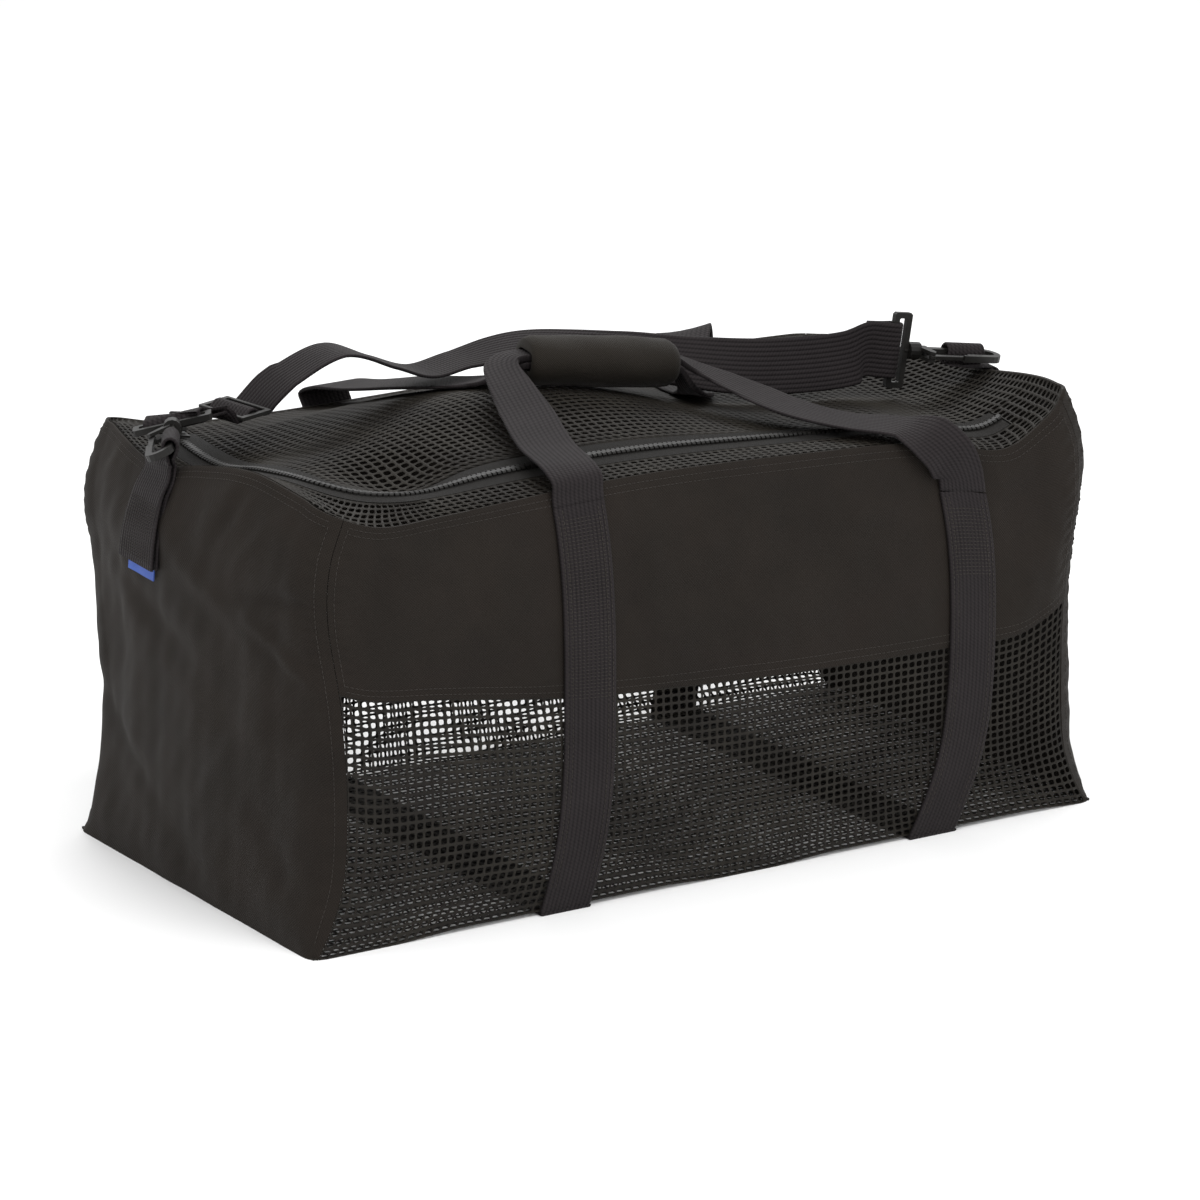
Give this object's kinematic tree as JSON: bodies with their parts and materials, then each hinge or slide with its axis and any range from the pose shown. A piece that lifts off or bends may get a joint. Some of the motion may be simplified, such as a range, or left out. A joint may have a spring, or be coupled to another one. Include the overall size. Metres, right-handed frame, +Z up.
{
  "type": "mesh dive gear bag",
  "caption": "Boxy duffel of coarse net and woven cloth with a net lid closed by an L-shaped coarse zip, two webbing carry handles in a wrapped grip and a clipped-on shoulder strap",
  "frame": {"origin": "on the floor below the middle of the bag", "axes": "X along the bag towards the plain end, Y from the front to the back, Z up"},
  "size_m": [0.6571, 0.3453, 0.3373],
  "materials": {
    "cloth": "plain-woven coated synthetic, matt",
    "net": "open net of coated yarn, slight sheen",
    "tape": "tightly woven zip tape, matt",
    "zip": "moulded coarse teeth and slider",
    "webbing": "ribbed synthetic webbing",
    "grip": "padded woven wrap closed round both handles",
    "plastic": "moulded, satin",
    "label": "small bare woven label"
  },
  "bodies": {
    "root": {"left_end": "cloth", "right_end": "cloth", "front_band": "cloth", "back_band": "cloth", "front_net": "net", "back_net": "net", "bottom_net": "net", "front_rim_net": "net", "left_rim_net": "net", "lid_net": "net", "zip_tape_outer": "tape", "zip_tape_inner": "tape", "zip_chain": "zip", "zip_slider": "zip", "front_left_leg": "webbing", "front_right_leg": "webbing", "back_left_leg": "webbing", "back_right_leg": "webbing", "left_under_strap": "webbing", "right_under_strap": "webbing", "front_handle": "webbing", "back_handle": "webbing", "left_tab": "webbing", "right_tab": "webbing", "shoulder_strap": "webbing", "handle_grip": "grip", "left_loop": "plastic", "left_hook": "plastic", "right_loop": "plastic", "right_hook": "plastic", "tri_glide": "plastic", "tab_label": "label"},
    "left_gate": {"left_gate": "plastic"},
    "right_gate": {"right_gate": "plastic"},
    "zip_pull": {"zip_pull": "zip"}
  },
  "joints": [
    {"name": "left_gate_hinge", "type": "hinge", "parent": "root", "child": "left_gate", "pos_m": [-0.30028, 0.04949, 0.29365], "axis": [-0.3305, 0.2228, 0.9171], "range_deg": [0, 12], "stiffness_Nm_per_rad": 0.05, "springref_deg": -20.05},
    {"name": "right_gate_hinge", "type": "hinge", "parent": "root", "child": "right_gate", "pos_m": [0.25655, -0.0289, 0.28841], "axis": [0.1569, -0.1003, 0.9825], "range_deg": [0, 12], "stiffness_Nm_per_rad": 0.05, "springref_deg": -20.05},
    {"name": "zip_pull_hinge", "type": "hinge", "parent": "root", "child": "zip_pull", "pos_m": [-0.25013, 0.10634, 0.27979], "axis": [0.9799, -0.1511, -0.1299], "range_deg": [-58, 113]}
  ]
}
